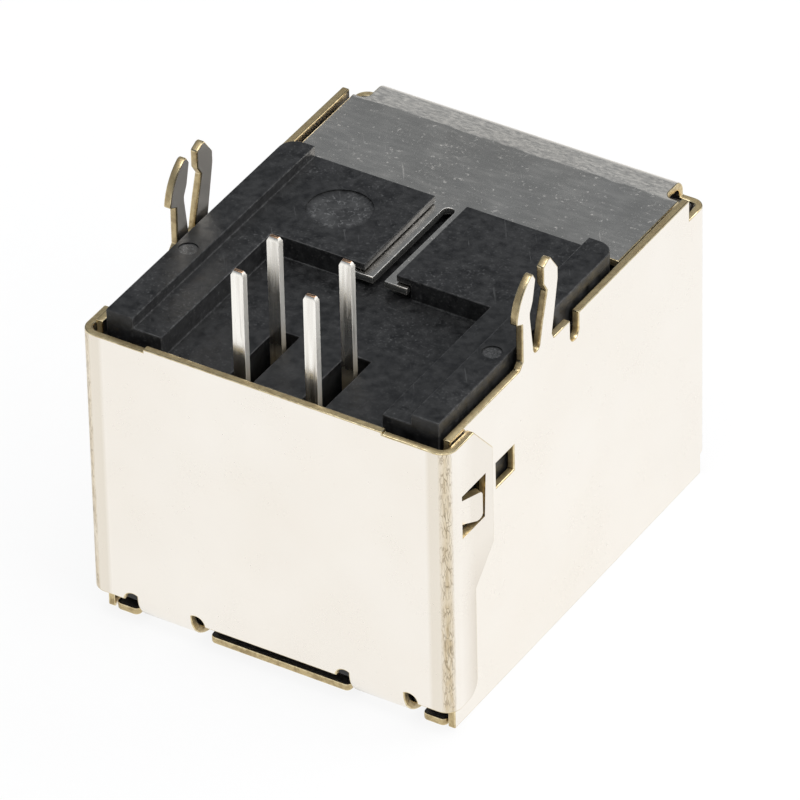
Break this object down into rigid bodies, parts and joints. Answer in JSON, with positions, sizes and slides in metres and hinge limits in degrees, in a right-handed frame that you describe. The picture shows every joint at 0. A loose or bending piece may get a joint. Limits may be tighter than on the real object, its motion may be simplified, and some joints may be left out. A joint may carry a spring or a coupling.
{
  "type": "usb type-b board connector",
  "caption": "Right-angle board connector with a folded metal shield, a black moulded housing, contact tails and slit board legs; takes a square plug from the front.",
  "frame": {"origin": "middle of the bounding box's underside: on the outer face of the shield's top plate, which the connector lies on", "axes": "+Y out of the plug opening, +Z out of the board side along the tails and legs, X across the width"},
  "size_m": [0.013, 0.0158, 0.014],
  "materials": {
    "shield_nickel": "bright nickel plate with bare cut edges",
    "housing_black": "semi-matte moulded",
    "contact_tin": "satin tin plate"
  },
  "bodies": {
    "root": {"shield": "shield_nickel", "housing": "housing_black", "contact_vbus": "contact_tin", "contact_data_minus": "contact_tin", "contact_data_plus": "contact_tin", "contact_ground": "contact_tin"}
  },
  "joints": []
}
